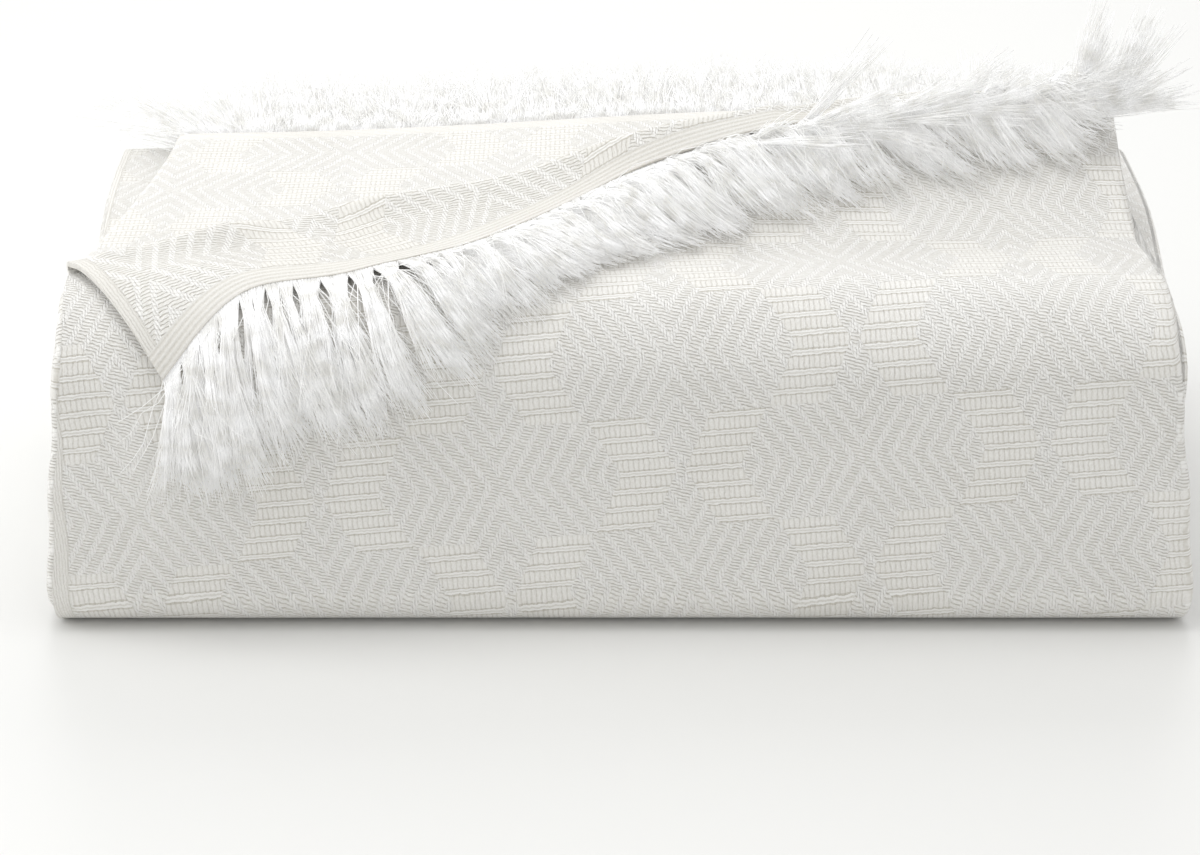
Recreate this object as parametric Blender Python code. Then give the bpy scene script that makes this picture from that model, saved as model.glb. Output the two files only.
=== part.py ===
"""A fringed cotton bedspread, folded into a bundle that lies on a flat surface.

The cloth is folded in four lengthwise, so a strip of four plies is made, and the strip is
folded back and forth in eight panels around three nested front bends. The free end of the top
ply is turned back towards the viewer along a slanting ridge, and its fringe hangs over the
front. The other three plies end at the rear with a fringe that lies on the stack.

Frame: +X to the right, +Y away from the viewer, +Z up, origin under the middle on the surface.
"""

import math

import bmesh
import bpy
import numpy as np
from mathutils import Matrix

# Bundle
HEIGHT = 0.159  # of the flat stack, without the raised ridge
FRONT_Y = -0.155  # outside of the front wall
PANELS = 8
PLIES = 4
SHEET = 0.0022  # thickness of the woven cloth
STRIP = HEIGHT / PANELS  # one panel of four plies
PLY = STRIP / PLIES  # from one ply to the next
HALF_STRIP = 1.5 * PLY + SHEET / 2

# Bends of the strip, at its centre line
TOP_R, BOTTOM_R = 0.028, 0.0108
C2_TOP_R, C2_BOTTOM_R = 0.016, 0.0105
C3_R = 0.014
FOLD_R = STRIP / 2

# Where the panels turn or end, in Y
END_TOP = 0.108  # plies two to four end here, with the rear fringe
REAR_A, REAR_B, REAR_C = 0.138, 0.130, 0.134
C4_Y = -0.076
END_INNER = 0.088

# Widths, as half widths of a ply
HALF_TOP, HALF_TOP_REAR = 0.2425, 0.219
TOP_SHIFT = 0.005  # the top panel's rear edge lies a little to the right
HALF_BOTTOM, HALF_INNER, HALF_INNER_REAR = 0.2530, 0.2455, 0.2510
INNER_SHIFT = 0.004  # the inner layers stand out a little to the right

# The turned-back end of ply one, at eleven stations from the left edge to the right.
# x and s of the ridge, s being the way along the cloth from the start of the top panel.
RIDGE = (
    (-0.2440, 0.0090), (-0.1940, 0.0325), (-0.1450, 0.0570), (-0.0965, 0.0725), (-0.0460, 0.0845),
    (0.0045, 0.0980), (0.0540, 0.1133), (0.1030, 0.1267), (0.1490, 0.1370), (0.1930, 0.1420),
    (0.2330, 0.1440),
)
# x and s of the fringed edge
EDGE = (
    (-0.1980, -0.0520), (-0.1635, -0.0185), (-0.1170, -0.0070), (-0.0750, 0.0195),
    (-0.0350, 0.0480), (0.0065, 0.0758), (0.0515, 0.0955), (0.0980, 0.1097), (0.1440, 0.1200),
    (0.1890, 0.1260), (0.2290, 0.1285),
)
# How far the cloth is raised under the ridge, and where the rise starts
RAISE = (0.0, 0.0005, 0.0020, 0.0060, 0.0120, 0.0200, 0.0275, 0.0330, 0.0350, 0.0345, 0.0320)
RISE_FROM = (-0.020, 0.0, 0.010, 0.014, 0.016, 0.020, 0.028, 0.038, 0.048, 0.055, 0.058)
ROLL_R = (0.0027, 0.0028, 0.0030, 0.0032, 0.0034, 0.0036, 0.0038, 0.0040, 0.0040, 0.0038, 0.0035)
FLAP_GAP = 0.0066  # from the cloth below to the flap, middle to middle
LOWER_SHARE = 0.30  # how much of the rise the plies below follow

# Fringe
FRINGE = 0.066
BACKING = 0.0035
PARTED = 0.0003
FRONT_LOCKS, REAR_LOCKS, INNER_LOCKS = 78, 42, 22
LOCK_W, LOCK_T = 0.0026, 0.0021
STAND_FROM = 0.88  # the locks beyond this share of the edge stand up, at the rear right
STAND_WAY = (0.38, -0.26, 0.80)
STAND_OUT = 0.012

CLOTH_COLOUR = "#E9E7E1"
FRINGE_COLOUR = "#F7F7F5"


def srgb(hex_colour):
    """A linear RGBA colour from a hex one."""
    parts = [int(hex_colour[i : i + 2], 16) / 255 for i in (1, 3, 5)]
    return [c / 12.92 if c <= 0.04045 else ((c + 0.055) / 1.055) ** 2.4 for c in parts] + [1.0]


def smooth(v):
    v = np.clip(v, 0.0, 1.0)
    return v * v * (3 - 2 * v)


def along(values, t):
    """Values at equal stations, read at t from 0 to 1 through a smooth curve."""
    values = np.asarray(values, float)
    n = len(values) - 1
    f = np.clip(np.asarray(t, float), 0, 1) * n
    i = np.clip(np.floor(f).astype(int), 0, n - 1)
    u = f - i
    a, b = values[np.maximum(i - 1, 0)], values[i]
    c, d = values[i + 1], values[np.minimum(i + 2, n)]
    return 0.5 * (2 * b + (c - a) * u + (2 * a - 5 * b + 4 * c - d) * u**2 + (3 * b - a - 3 * c + d) * u**3)


# The strip's centre line: each run is (kind, length or radius, rows, name), seen from its left
# end, starting at the rear of the top panel and heading to the front.
FRONT_LINE = FRONT_Y + HALF_STRIP
Z_OF = [STRIP * (k + 0.5) for k in range(PANELS)]
TOP_START = FRONT_LINE + TOP_R
RUNS = (
    ("line", END_TOP - TOP_START, 5, "top"),
    ("ccw", TOP_R, 5, "crest"),
    ("line", Z_OF[7] - TOP_R - Z_OF[0] - BOTTOM_R, 3, "wall"),
    ("ccw", BOTTOM_R, 4, "foot"),
    ("line", REAR_A - (FRONT_LINE + BOTTOM_R), 3, "base"),
    ("ccw2", FOLD_R, 5, "rear_a"),
    ("line", REAR_A - (FRONT_LINE + STRIP + C2_BOTTOM_R), 3, "third"),
    ("cw", C2_BOTTOM_R, 3, "bend2a"),
    ("line", Z_OF[6] - C2_TOP_R - Z_OF[1] - C2_BOTTOM_R, 2, "wall2"),
    ("cw", C2_TOP_R, 4, "bend2b"),
    ("line", REAR_B - (FRONT_LINE + STRIP + C2_TOP_R), 3, "fourth"),
    ("cw2", FOLD_R, 5, "rear_b"),
    ("line", REAR_B - (FRONT_LINE + 2 * STRIP + C3_R), 3, "fifth"),
    ("ccw", C3_R, 3, "bend3a"),
    ("line", Z_OF[5] - Z_OF[2] - 2 * C3_R, 1, "wall3"),
    ("ccw", C3_R, 3, "bend3b"),
    ("line", REAR_C - (FRONT_LINE + 2 * STRIP + C3_R), 3, "sixth"),
    ("ccw2", FOLD_R, 5, "rear_c"),
    ("line", REAR_C - C4_Y, 3, "seventh"),
    ("cw2", FOLD_R, 5, "bend4"),
    ("line", END_INNER - C4_Y, 3, "eighth"),
)


def strip_rows(scale=1):
    """Rows along the strip as (way, Y, Z, heading, panel name)."""
    y, z, head, way = END_TOP, Z_OF[7], math.pi, 0.0
    rows = [(way, y, z, head, RUNS[0][3])]
    for kind, size, count, name in RUNS:
        count = max(1, round(count * scale))
        turn = 0.0
        if kind != "line":
            turn = (math.pi if kind.endswith("2") else math.pi / 2) * (1 if kind.startswith("ccw") else -1)
        length = size if kind == "line" else size * abs(turn)
        start = (y, z, head)
        for k in range(1, count + 1):
            f = k / count
            if turn == 0.0:
                y = start[0] + math.cos(head) * size * f
                z = start[1] + math.sin(head) * size * f
            else:
                side = 1 if turn > 0 else -1
                cy = start[0] - math.sin(start[2]) * size * side
                cz = start[1] + math.cos(start[2]) * size * side
                head = start[2] + turn * f
                y = cy + math.sin(head) * size * side
                z = cz - math.cos(head) * size * side
            rows.append((way + length * f, y, z, head, name))
        way += length
    return rows


def columns(wide=12, narrow=3, loop=3):
    """Columns across the cloth as (ply, t from left to right, h, outward bump, loop share)."""
    out = []
    hs = [1.5 * PLY, 0.5 * PLY, -0.5 * PLY, -1.5 * PLY]
    for ply in range(PLIES):
        n = wide if ply == 0 else narrow
        for k in range(n + 1):
            t = (k / n) ** 1.3 if ply == 0 else k / n if ply % 2 == 0 else 1 - k / n
            out.append((ply, t, hs[ply], 0.0, 0.0))
        if ply < PLIES - 1:
            side = 1 if ply % 2 == 0 else -1
            for k in range(1, loop):
                a = math.pi * k / loop
                h = (hs[ply] + hs[ply + 1]) / 2 + PLY / 2 * math.cos(a)
                out.append((ply, 1.0 if side > 0 else 0.0, h, side * PLY / 2 * math.sin(a), 0.5 - 0.5 * math.cos(a)))
    return out


def half_width(name, y, z):
    """(half width, shift) of the strip at a place in the stack."""
    back = smooth((y - TOP_START) / (END_TOP - TOP_START))
    if name == "top":
        return HALF_TOP + (HALF_TOP_REAR - HALF_TOP) * back, TOP_SHIFT * back
    if name in ("crest", "wall", "foot", "base"):
        down = smooth((HEIGHT - z) / HEIGHT)
        return HALF_TOP + (HALF_BOTTOM - HALF_TOP) * down, 0.0015 * down
    if name == "rear_a":
        f = smooth((z - Z_OF[0]) / STRIP)
        return HALF_BOTTOM + (HALF_INNER_REAR - HALF_BOTTOM) * f, 0.0015 + (INNER_SHIFT - 0.0015) * f
    if name in ("wall2", "bend2a", "bend2b", "wall3", "bend3a", "bend3b", "bend4"):
        return HALF_INNER, INNER_SHIFT
    return HALF_INNER + (HALF_INNER_REAR - HALF_INNER) * back, INNER_SHIFT


PLY1_R = TOP_R + 1.5 * PLY
PLY1_Z = Z_OF[7] + 1.5 * PLY
CREST = PLY1_R * math.pi / 2


def on_ply_one(x, s, g):
    """A point g outside the middle of ply one, s along it from the start of the top panel."""
    a = np.clip(-s / PLY1_R, 0, math.pi / 2)
    y = TOP_START - (PLY1_R + g) * np.sin(a) + np.maximum(s, 0)
    z = PLY1_Z - PLY1_R + (PLY1_R + g) * np.cos(a) + np.minimum(s + CREST, 0)
    return np.stack([x + 0 * s, y, z], -1)


def rise(x, s):
    """How far ply one is raised above its flat place."""
    t = np.clip((x - RIDGE[0][0]) / (RIDGE[-1][0] - RIDGE[0][0]), 0, 1)
    start, top = along(RISE_FROM, t), along([r[1] for r in RIDGE], t)
    return along(RAISE, t) * smooth((s - start) / (top - start))


def ridge_frame(t):
    """(x, s) of the ridge and its level normal, which points to the rear."""
    x, s = along([r[0] for r in RIDGE], t), along([r[1] for r in RIDGE], t)
    e = 0.02
    lo, hi = np.clip(t - e, 0, 1), np.clip(t + e, 0, 1)
    dx = along([r[0] for r in RIDGE], hi) - along([r[0] for r in RIDGE], lo)
    ds = along([r[1] for r in RIDGE], hi) - along([r[1] for r in RIDGE], lo)
    n = np.hypot(dx, ds)
    return x, s, -ds / n, dx / n


def flap_edge(t):
    return along([e[0] for e in EDGE], t), along([e[1] for e in EDGE], t)


ROLL_ROWS, FLAP_ROWS = 5, 7
UNDER_ROWS = 10  # from the foot of the crest to the roll


def under_point(t, f):
    """Ply one from the foot of the crest, f = 0, to the start of the roll, f = 1."""
    x, s, nx, ns = ridge_frame(t)
    r = along(ROLL_R, t)
    even = -CREST + (s - ns * r + CREST) * f
    bent = np.where(f < 0.5, -CREST * (1 - 2 * f), (s - ns * r) * (2 * f - 1))
    mix = smooth((t - 0.08) / 0.25)
    sj = even * (1 - mix) + bent * mix
    x0 = -HALF_TOP + 2 * HALF_TOP * t
    xj = x0 + (x - nx * r - x0) * smooth((sj + CREST) / (s - ns * r + CREST))
    return xj, sj, rise(xj, sj)


def over_point(t, k, rolls=ROLL_ROWS, flaps=FLAP_ROWS):
    """Ply one past the roll's start, k rows on: round the ridge, then back to the fringed edge."""
    x, s, nx, ns = ridge_frame(t)
    r = along(ROLL_R, t)
    base = rise(x - nx * r, s - ns * r)
    a = np.pi * np.minimum(k / rolls, 1)
    rx, rs = x - nx * r + nx * r * np.sin(a), s - ns * r + ns * r * np.sin(a)
    rg = base + r - r * np.cos(a)
    w = np.clip((k - rolls) / flaps, 0, 1)
    ex, es = flap_edge(t)
    fx, fs = x - nx * r + (ex - x + nx * r) * w, s - ns * r + (es - s + ns * r) * w
    fg = rise(fx, fs) + 2 * r + (FLAP_GAP - 2 * r) * smooth(w * 2)
    over = k > rolls
    return np.where(over, fx, rx), np.where(over, fs, rs), np.where(over, fg, rg)


def settle(p):
    """The bundle's own unevenness: slack in the wall, a slightly crowned top, uneven sides."""
    x, y, z = p[..., 0], p[..., 1], p[..., 2]
    up = np.clip(z / HEIGHT, 0, 1.4)
    wall = np.exp(-(((y - FRONT_Y) / 0.05) ** 2))
    dy = wall * np.sin(np.pi * np.clip(up, 0, 1)) * (-0.0016 + 0.0014 * np.sin(9 * x + 0.6) + 0.0010 * np.sin(17 * x + 2))
    lifted = smooth((z - 0.006) / 0.03)
    dz = lifted * up * (0.0014 * np.cos(6.2 * x) + 0.0010 * np.sin(11 * x + 8 * y) - 0.0012 * smooth((np.abs(x) - 0.2) / 0.05))
    dx = np.sign(x) * smooth((np.abs(x) - 0.18) / 0.06) * (0.0006 * np.sin(21 * z / HEIGHT + 9 * y) + 0.0014 * np.sin(26 * y + 3 * x))
    return np.stack([x + dx, y + dy, z + dz], -1)


def cloth_grid():
    """(points by row and column, mask of the cells that are cloth)."""
    rows, cols = strip_rows(), columns()
    wide = sum(1 for c in cols if c[0] == 0 and c[3] == 0.0)
    extra = ROLL_ROWS + FLAP_ROWS
    pts = np.zeros((extra + len(rows), len(cols), 3))
    for i, (_, y, z, head, name) in enumerate(rows):
        ny, nz = math.cos(head - math.pi / 2), math.sin(head - math.pi / 2)
        half, shift = half_width(name, y, z)
        for j, (_, t, h, bump, _) in enumerate(cols):
            x = (2 * t - 1) * half + shift + bump
            p = np.array([x, y + ny * h, z + nz * h])
            if name == "top":
                p[2] += LOWER_SHARE * float(rise(np.array(x), np.array(y - TOP_START)))
            pts[extra + i, j] = p
    for i in range(UNDER_ROWS + 1):
        f = 1 - i / UNDER_ROWS
        for j, (ply, t, h, bump, share) in enumerate(cols):
            if ply != 0:
                continue
            x, s, g = under_point(np.array(t), np.array(f))
            top = on_ply_one(x, s, g)
            low = pts[extra + i, wide + 2 if share else j]
            if share:
                top = top + (low - top) * share
                top[0] += bump
            pts[extra + i, j] = top
    for k in range(1, extra + 1):
        for j in range(wide):
            x, s, g = over_point(np.array(cols[j][1]), np.array(float(k)))
            pts[extra - k, j] = on_ply_one(x, s, g)
    mask = np.ones((pts.shape[0] - 1, len(cols) - 1), bool)
    mask[:extra, wide - 1 :] = False
    return settle(pts), mask, wide, extra


def sheet_normals(pts, mask):
    """Normals of the sheet at its grid points, towards the outside of ply one."""
    n = np.zeros_like(pts)
    a, b = pts[:-1, :-1], pts[:-1, 1:]
    c, d = pts[1:, 1:], pts[1:, :-1]
    face = np.cross(c - a, b - d) * mask[..., None]
    for di, dj in ((0, 0), (0, 1), (1, 0), (1, 1)):
        n[di : di + face.shape[0], dj : dj + face.shape[1]] += face
    length = np.linalg.norm(n, axis=-1, keepdims=True)
    return n / np.where(length > 0, length, 1)


def cloth_object(pts, mask, material):
    bm = bmesh.new()
    verts = {}
    for i, j in zip(*np.nonzero(mask)):
        ring = []
        for a, b in ((i, j), (i + 1, j), (i + 1, j + 1), (i, j + 1)):
            if (a, b) not in verts:
                verts[a, b] = bm.verts.new(pts[a, b])
            ring.append(verts[a, b])
        bm.faces.new(ring)
    mesh = bpy.data.meshes.new("cloth")
    bm.to_mesh(mesh)
    bm.free()
    mesh.shade_smooth()
    mesh.materials.append(material)
    obj = bpy.data.objects.new("cloth", mesh)
    bpy.context.collection.objects.link(obj)
    solid = obj.modifiers.new("sheet thickness", "SOLIDIFY")
    solid.thickness = SHEET
    solid.offset = 0.0
    return obj


def fringe_object(name, edge, outs, ups, locks, material):
    """A narrow backing along a cloth's edge, with a lock drawn out of it at each given place.

    edge, outs and ups are rows of points, ways out of the cloth's edge and sheet normals.
    Each lock is (place along the edge, points beyond the backing).
    """
    bm = bmesh.new()
    seg = np.linalg.norm(np.diff(edge, axis=0), axis=1)
    way = np.concatenate([[0], np.cumsum(seg)])
    stops = {w: None for w in way}
    for w, _ in locks:
        stops[w - LOCK_W / 2] = True
        stops[w + LOCK_W / 2] = None
    order = sorted(stops)
    merged = [order[0]]
    for w in order[1:]:
        if w - merged[-1] > 2e-4 or stops[w] or stops.get(merged[-1]):
            merged.append(w)
    at = lambda rows, w: np.array([np.interp(w, way, rows[:, k]) for k in range(3)])
    rings = []
    for w in merged:
        p, o, u = at(edge, w), at(outs, w), at(ups, w)
        o, u = o / np.linalg.norm(o), u / np.linalg.norm(u)
        h = LOCK_T / 2
        ring = [p + o * PARTED - u * h, p + o * PARTED + u * h, p + o * (PARTED + BACKING) + u * h, p + o * (PARTED + BACKING) - u * h]
        rings.append([bm.verts.new(q) for q in ring])
    outer = {}
    for k in range(len(rings) - 1):
        a, b = rings[k], rings[k + 1]
        for q in range(4):
            face = bm.faces.new((a[q], a[(q + 1) % 4], b[(q + 1) % 4], b[q]))
            if q == 2:
                outer[round(merged[k], 6)] = (face, a, b)
    bm.faces.new(rings[0][::-1])
    bm.faces.new(rings[-1])
    for w, path in locks:
        face, a, b = outer[round(w - LOCK_W / 2, 6)]
        bm.faces.remove(face)
        last = [a[2], a[3], b[3], b[2]]
        side = at(edge, w + LOCK_W / 2) - at(edge, w - LOCK_W / 2)
        way_out = at(outs, w) / np.linalg.norm(at(outs, w))
        path = [at(edge, w) + way_out * (PARTED + BACKING + 0.0035), *path]
        face_up = at(ups, w)
        for n, p in enumerate(path):
            size = 0.35 if n == len(path) - 1 else 1.0
            before = np.array(path[n - 1]) if n else at(edge, w)
            d = np.array(p) - before
            d /= np.linalg.norm(d)
            s = side - d * np.dot(side, d)
            s /= np.linalg.norm(s)
            u = np.cross(s, d)
            if np.dot(u, face_up) < 0:
                u = -u
            face_up = u
            sw, ut = s * LOCK_W / 2 * size, u * LOCK_T / 2 * size
            ring = [bm.verts.new(q) for q in (p - sw + ut, p - sw - ut, p + sw - ut, p + sw + ut)]
            for q in range(4):
                bm.faces.new((last[q], last[(q + 1) % 4], ring[(q + 1) % 4], ring[q]))
            last = ring
        bm.faces.new(last)
    bmesh.ops.recalc_face_normals(bm, faces=bm.faces)
    if bm.calc_volume(signed=True) < 0:
        bmesh.ops.reverse_faces(bm, faces=bm.faces)
    mesh = bpy.data.meshes.new(name)
    bm.to_mesh(mesh)
    bm.free()
    mesh.materials.append(material)
    obj = bpy.data.objects.new(name, mesh)
    bpy.context.collection.objects.link(obj)
    return obj


def wobble(k, seed):
    """A repeatable uneven value from -1 to 1."""
    v = math.sin(k * 12.9898 + seed * 78.233) * 43758.5453
    return 2 * (v - math.floor(v)) - 1


def front_locks(edge, stations, count):
    """Locks that hang from the turned-back edge, over the top panel and down the front."""
    way = np.concatenate([[0], np.cumsum(np.linalg.norm(np.diff(edge, axis=0), axis=1))])
    out = []
    for k in range(count):
        f = (k + 0.5) / count
        t = np.interp(f * way[-1], way, stations)
        ex, es = flap_edge(t)
        lean = math.radians(12 + 26 * float(smooth(f * 1.6)) - 20 * float(smooth((f - 0.6) / 0.4)))
        lean += 0.022 * wobble(k, 1)
        long = FRINGE * (0.80 + 0.20 * float(smooth(f * 5))) * (1 + 0.06 * wobble(k, 2))
        g0 = float(rise(ex, es)) + FLAP_GAP
        root = settle(on_ply_one(ex, es, g0))
        stands = float(smooth((f - STAND_FROM) / (1 - STAND_FROM)))
        path = []
        for n, u in enumerate((0.36, 0.68, 1.0)):
            x = ex + math.sin(lean * (0.6 + 0.4 * u)) * long * u
            s = es - math.cos(lean) * long * u
            high = float(rise(x, s)) + 0.0075 + 0.0008 * wobble(k, 3 + n)
            fall = g0 + (high - g0) * u
            lying = settle(on_ply_one(np.array(x), np.array(s), np.array(max(high, fall))))
            upright = root + np.array(STAND_WAY) * long * u + np.array((0.0, -STAND_OUT, 0.0))
            path.append(lying + (upright - lying) * stands)
        out.append((f * way[-1], path))
    return out


def rear_locks(edge, spans, counts):
    """Locks that lie rearward from the ends of plies two, three and four."""
    way = np.concatenate([[0], np.cumsum(np.linalg.norm(np.diff(edge, axis=0), axis=1))])
    out = []
    for tier, ((lo, hi), count) in enumerate(zip(spans, counts)):
        start, stop = way[lo], way[hi]
        for k in range(count):
            w = start + (stop - start) * (k + 0.5) / count
            root = np.array([np.interp(w, way, edge[:, n]) for n in range(3)])
            long = (FRINGE - 0.014) * (1 + 0.08 * wobble(k, 11 + tier))
            swing = 0.05 * wobble(k, 14 + tier) + 0.9 * (root[0] / 0.22) ** 5 * 0.35
            lift = (0.0035, 0.0, -0.0002)[tier] + (0.0012, 0.0005, 0.0003)[tier] * wobble(k, 17 + tier)
            path = []
            for u in (1.0,):
                path.append(root + np.array([math.sin(swing) * long * u, math.cos(swing) * long * u, lift * u * 1.4]))
            out.append((w, path))
    return out


def material(name, colour, roughness):
    mat = bpy.data.materials.new(name)
    mat.use_nodes = True
    shader = mat.node_tree.nodes["Principled BSDF"]
    shader.inputs["Base Color"].default_value = srgb(colour)
    shader.inputs["Roughness"].default_value = roughness
    shader.inputs["Metallic"].default_value = 0.0
    return mat


def stand_at_origin(objects):
    """Move the meshes so that the bundle's box stands on z = 0, centred on the origin."""
    bpy.context.view_layer.update()
    graph = bpy.context.evaluated_depsgraph_get()
    points = []
    for obj in objects:
        evaluated = obj.evaluated_get(graph)
        mesh = evaluated.to_mesh()
        points += [v.co.copy() for v in mesh.vertices]
        evaluated.to_mesh_clear()
    points = np.array(points)
    low, high = points.min(0), points.max(0)
    move = Matrix.Translation((-(low[0] + high[0]) / 2, -(low[1] + high[1]) / 2, -low[2]))
    for obj in objects:
        obj.data.transform(move)


def main():
    for obj in list(bpy.data.objects):
        bpy.data.objects.remove(obj, do_unlink=True)
    woven = material("woven cotton", CLOTH_COLOUR, 0.9)
    brushed = material("cotton fringe yarn", FRINGE_COLOUR, 0.95)
    pts, mask, wide, extra = cloth_grid()
    normals = sheet_normals(pts, mask)
    made = [cloth_object(pts, mask, woven)]

    edge = pts[0, :wide]
    ups = normals[0, :wide]
    outs = pts[0, :wide] - pts[1, :wide]
    outs /= np.linalg.norm(outs, axis=1, keepdims=True)
    stations = [c[1] for c in columns()[:wide]]
    locks = front_locks(edge, stations, FRONT_LOCKS)
    made.append(fringe_object("fringe_front", edge, outs, ups, locks, brushed))

    first = wide + 2
    edge = pts[extra, first:]
    ups = normals[extra, first:]
    outs = pts[extra, first:] - pts[extra + 1, first:]
    outs /= np.linalg.norm(outs, axis=1, keepdims=True)
    spans = ((0, 3), (5, 8), (10, 13))
    locks = rear_locks(edge, spans, (REAR_LOCKS, INNER_LOCKS, INNER_LOCKS))
    made.append(fringe_object("fringe_rear", edge, outs, ups, locks, brushed))
    stand_at_origin(made)


main()
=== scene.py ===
"""Looks for a cotton bedspread with a brushed fringe, folded into a bundle.

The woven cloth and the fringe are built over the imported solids, in the same frame and metres:
+X to the right, +Y away from the viewer, +Z up, origin under the middle of the bundle.
"""

import math

import bpy
import numpy as np
from bpy.props import FloatProperty, FloatVectorProperty, IntProperty, PointerProperty, StringProperty
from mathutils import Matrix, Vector


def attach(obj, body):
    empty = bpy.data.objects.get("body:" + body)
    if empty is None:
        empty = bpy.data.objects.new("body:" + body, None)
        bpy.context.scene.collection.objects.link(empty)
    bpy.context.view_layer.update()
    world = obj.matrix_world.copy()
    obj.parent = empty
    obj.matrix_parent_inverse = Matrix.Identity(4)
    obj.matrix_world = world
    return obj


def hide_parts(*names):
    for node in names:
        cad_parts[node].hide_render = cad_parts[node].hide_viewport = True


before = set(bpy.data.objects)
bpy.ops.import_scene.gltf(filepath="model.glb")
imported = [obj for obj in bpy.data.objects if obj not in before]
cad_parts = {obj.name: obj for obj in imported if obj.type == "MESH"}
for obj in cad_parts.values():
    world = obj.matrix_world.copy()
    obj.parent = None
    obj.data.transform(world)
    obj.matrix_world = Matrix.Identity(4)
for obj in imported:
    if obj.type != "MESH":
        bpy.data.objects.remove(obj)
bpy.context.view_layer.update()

bl_info = {
    "name": "Folded Fringed Bedspread",
    "version": (1, 0, 0),
    "blender": (4, 5, 0),
    "location": "3D View > Sidebar > Bedspread",
    "description": "Builds the woven cloth and the brushed fringe of a folded bedspread",
    "category": "Object",
}

# Sizes of the folded solid, repeated from its source.
HEIGHT = 0.159
FRONT_Y = -0.155
PANELS, PLIES = 8, 4
SOLID_SHEET = 0.0022
STRIP = HEIGHT / PANELS
PLY = STRIP / PLIES
HALF_STRIP = 1.5 * PLY + SOLID_SHEET / 2
TOP_R, BOTTOM_R = 0.028, 0.0108
C2_TOP_R, C2_BOTTOM_R, C3_R = 0.016, 0.0105, 0.014
FOLD_R = STRIP / 2
END_TOP = 0.108
REAR_A, REAR_B, REAR_C = 0.138, 0.130, 0.134
C4_Y, END_INNER = -0.076, 0.088
HALF_TOP, HALF_TOP_REAR, TOP_SHIFT = 0.2425, 0.219, 0.005
HALF_BOTTOM, HALF_INNER, HALF_INNER_REAR = 0.2530, 0.2455, 0.2510
INNER_SHIFT, FOOT_SHIFT = 0.004, 0.0015
FLAP_GAP, LOWER_SHARE = 0.0066, 0.30
PARTED = 0.0003
STAND_FROM, STAND_OUT = 0.88, 0.012
TALLEST = 0.2565  # the standing strands end under this height
PLACED = np.array((-0.00155191, 0.00134568, -0.00138438))  # the move that centres the bundle

# The bundle's own unevenness, in metres. A wave is its height, radians a metre along X, and phase.
WALL_REACH, WALL_SAG = 0.05, -0.0016
WALL_WAVES = ((0.0014, 9, 0.6), (0.0010, 17, 2))
CROWN, TOP_WAVE, SIDE_SAG = 0.0014, 0.0010, 0.0012
LAYER_WAVE, SIDE_WAVE = 0.0006, 0.0014

# The turned-back end at eleven equal stations, from the left edge to the right.
FLAP_COLUMNS = ("ridge_x", "ridge_s", "edge_x", "edge_s", "raised", "raised_from", "roll")
FLAP = (
    (-0.2440, 0.0090, -0.1980, -0.0520, 0.0000, -0.020, 0.0027),
    (-0.1940, 0.0325, -0.1635, -0.0185, 0.0005, 0.000, 0.0028),
    (-0.1450, 0.0570, -0.1170, -0.0070, 0.0020, 0.010, 0.0030),
    (-0.0965, 0.0725, -0.0750, 0.0195, 0.0060, 0.014, 0.0032),
    (-0.0460, 0.0845, -0.0350, 0.0480, 0.0120, 0.016, 0.0034),
    (0.0045, 0.0980, 0.0065, 0.0758, 0.0200, 0.020, 0.0036),
    (0.0540, 0.1133, 0.0515, 0.0955, 0.0275, 0.028, 0.0038),
    (0.1030, 0.1267, 0.0980, 0.1097, 0.0330, 0.038, 0.0040),
    (0.1490, 0.1370, 0.1440, 0.1200, 0.0350, 0.048, 0.0040),
    (0.1930, 0.1420, 0.1890, 0.1260, 0.0345, 0.055, 0.0038),
    (0.2330, 0.1440, 0.2290, 0.1285, 0.0320, 0.058, 0.0035),
)

# Runs of the folded strip: kind, length or radius, rows of the mesh, name.
FRONT_LINE = FRONT_Y + HALF_STRIP
Z_OF = [STRIP * (k + 0.5) for k in range(PANELS)]
TOP_START = FRONT_LINE + TOP_R
TOP_ROWS, CREST_ROWS = 34, 14
RUNS = (
    ("line", END_TOP - TOP_START, TOP_ROWS, "top"),
    ("ccw", TOP_R, CREST_ROWS, "crest"),
    ("line", Z_OF[7] - TOP_R - Z_OF[0] - BOTTOM_R, 26, "wall"),
    ("ccw", BOTTOM_R, 7, "foot"),
    ("line", REAR_A - (FRONT_LINE + BOTTOM_R), 7, "base"),
    ("ccw2", FOLD_R, 10, "rear_a"),
    ("line", REAR_A - (FRONT_LINE + STRIP + C2_BOTTOM_R), 7, "third"),
    ("cw", C2_BOTTOM_R, 4, "bend2a"),
    ("line", Z_OF[6] - C2_TOP_R - Z_OF[1] - C2_BOTTOM_R, 4, "wall2"),
    ("cw", C2_TOP_R, 5, "bend2b"),
    ("line", REAR_B - (FRONT_LINE + STRIP + C2_TOP_R), 8, "fourth"),
    ("cw2", FOLD_R, 10, "rear_b"),
    ("line", REAR_B - (FRONT_LINE + 2 * STRIP + C3_R), 8, "fifth"),
    ("ccw", C3_R, 4, "bend3a"),
    ("line", Z_OF[5] - Z_OF[2] - 2 * C3_R, 2, "wall3"),
    ("ccw", C3_R, 4, "bend3b"),
    ("line", REAR_C - (FRONT_LINE + 2 * STRIP + C3_R), 8, "sixth"),
    ("ccw2", FOLD_R, 10, "rear_c"),
    ("line", REAR_C - C4_Y, 8, "seventh"),
    ("cw2", FOLD_R, 7, "bend4"),
    ("line", END_INNER - C4_Y, 7, "eighth"),
)
ROLL_ROWS, FLAP_ROWS = 12, 44
PLY_COLUMNS = (100, 44, 12, 12)
LOOP_COLUMNS = 6
CROWDED_LEFT = 1.15  # ply one's columns lie closer at the left, where its edge hangs

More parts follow.
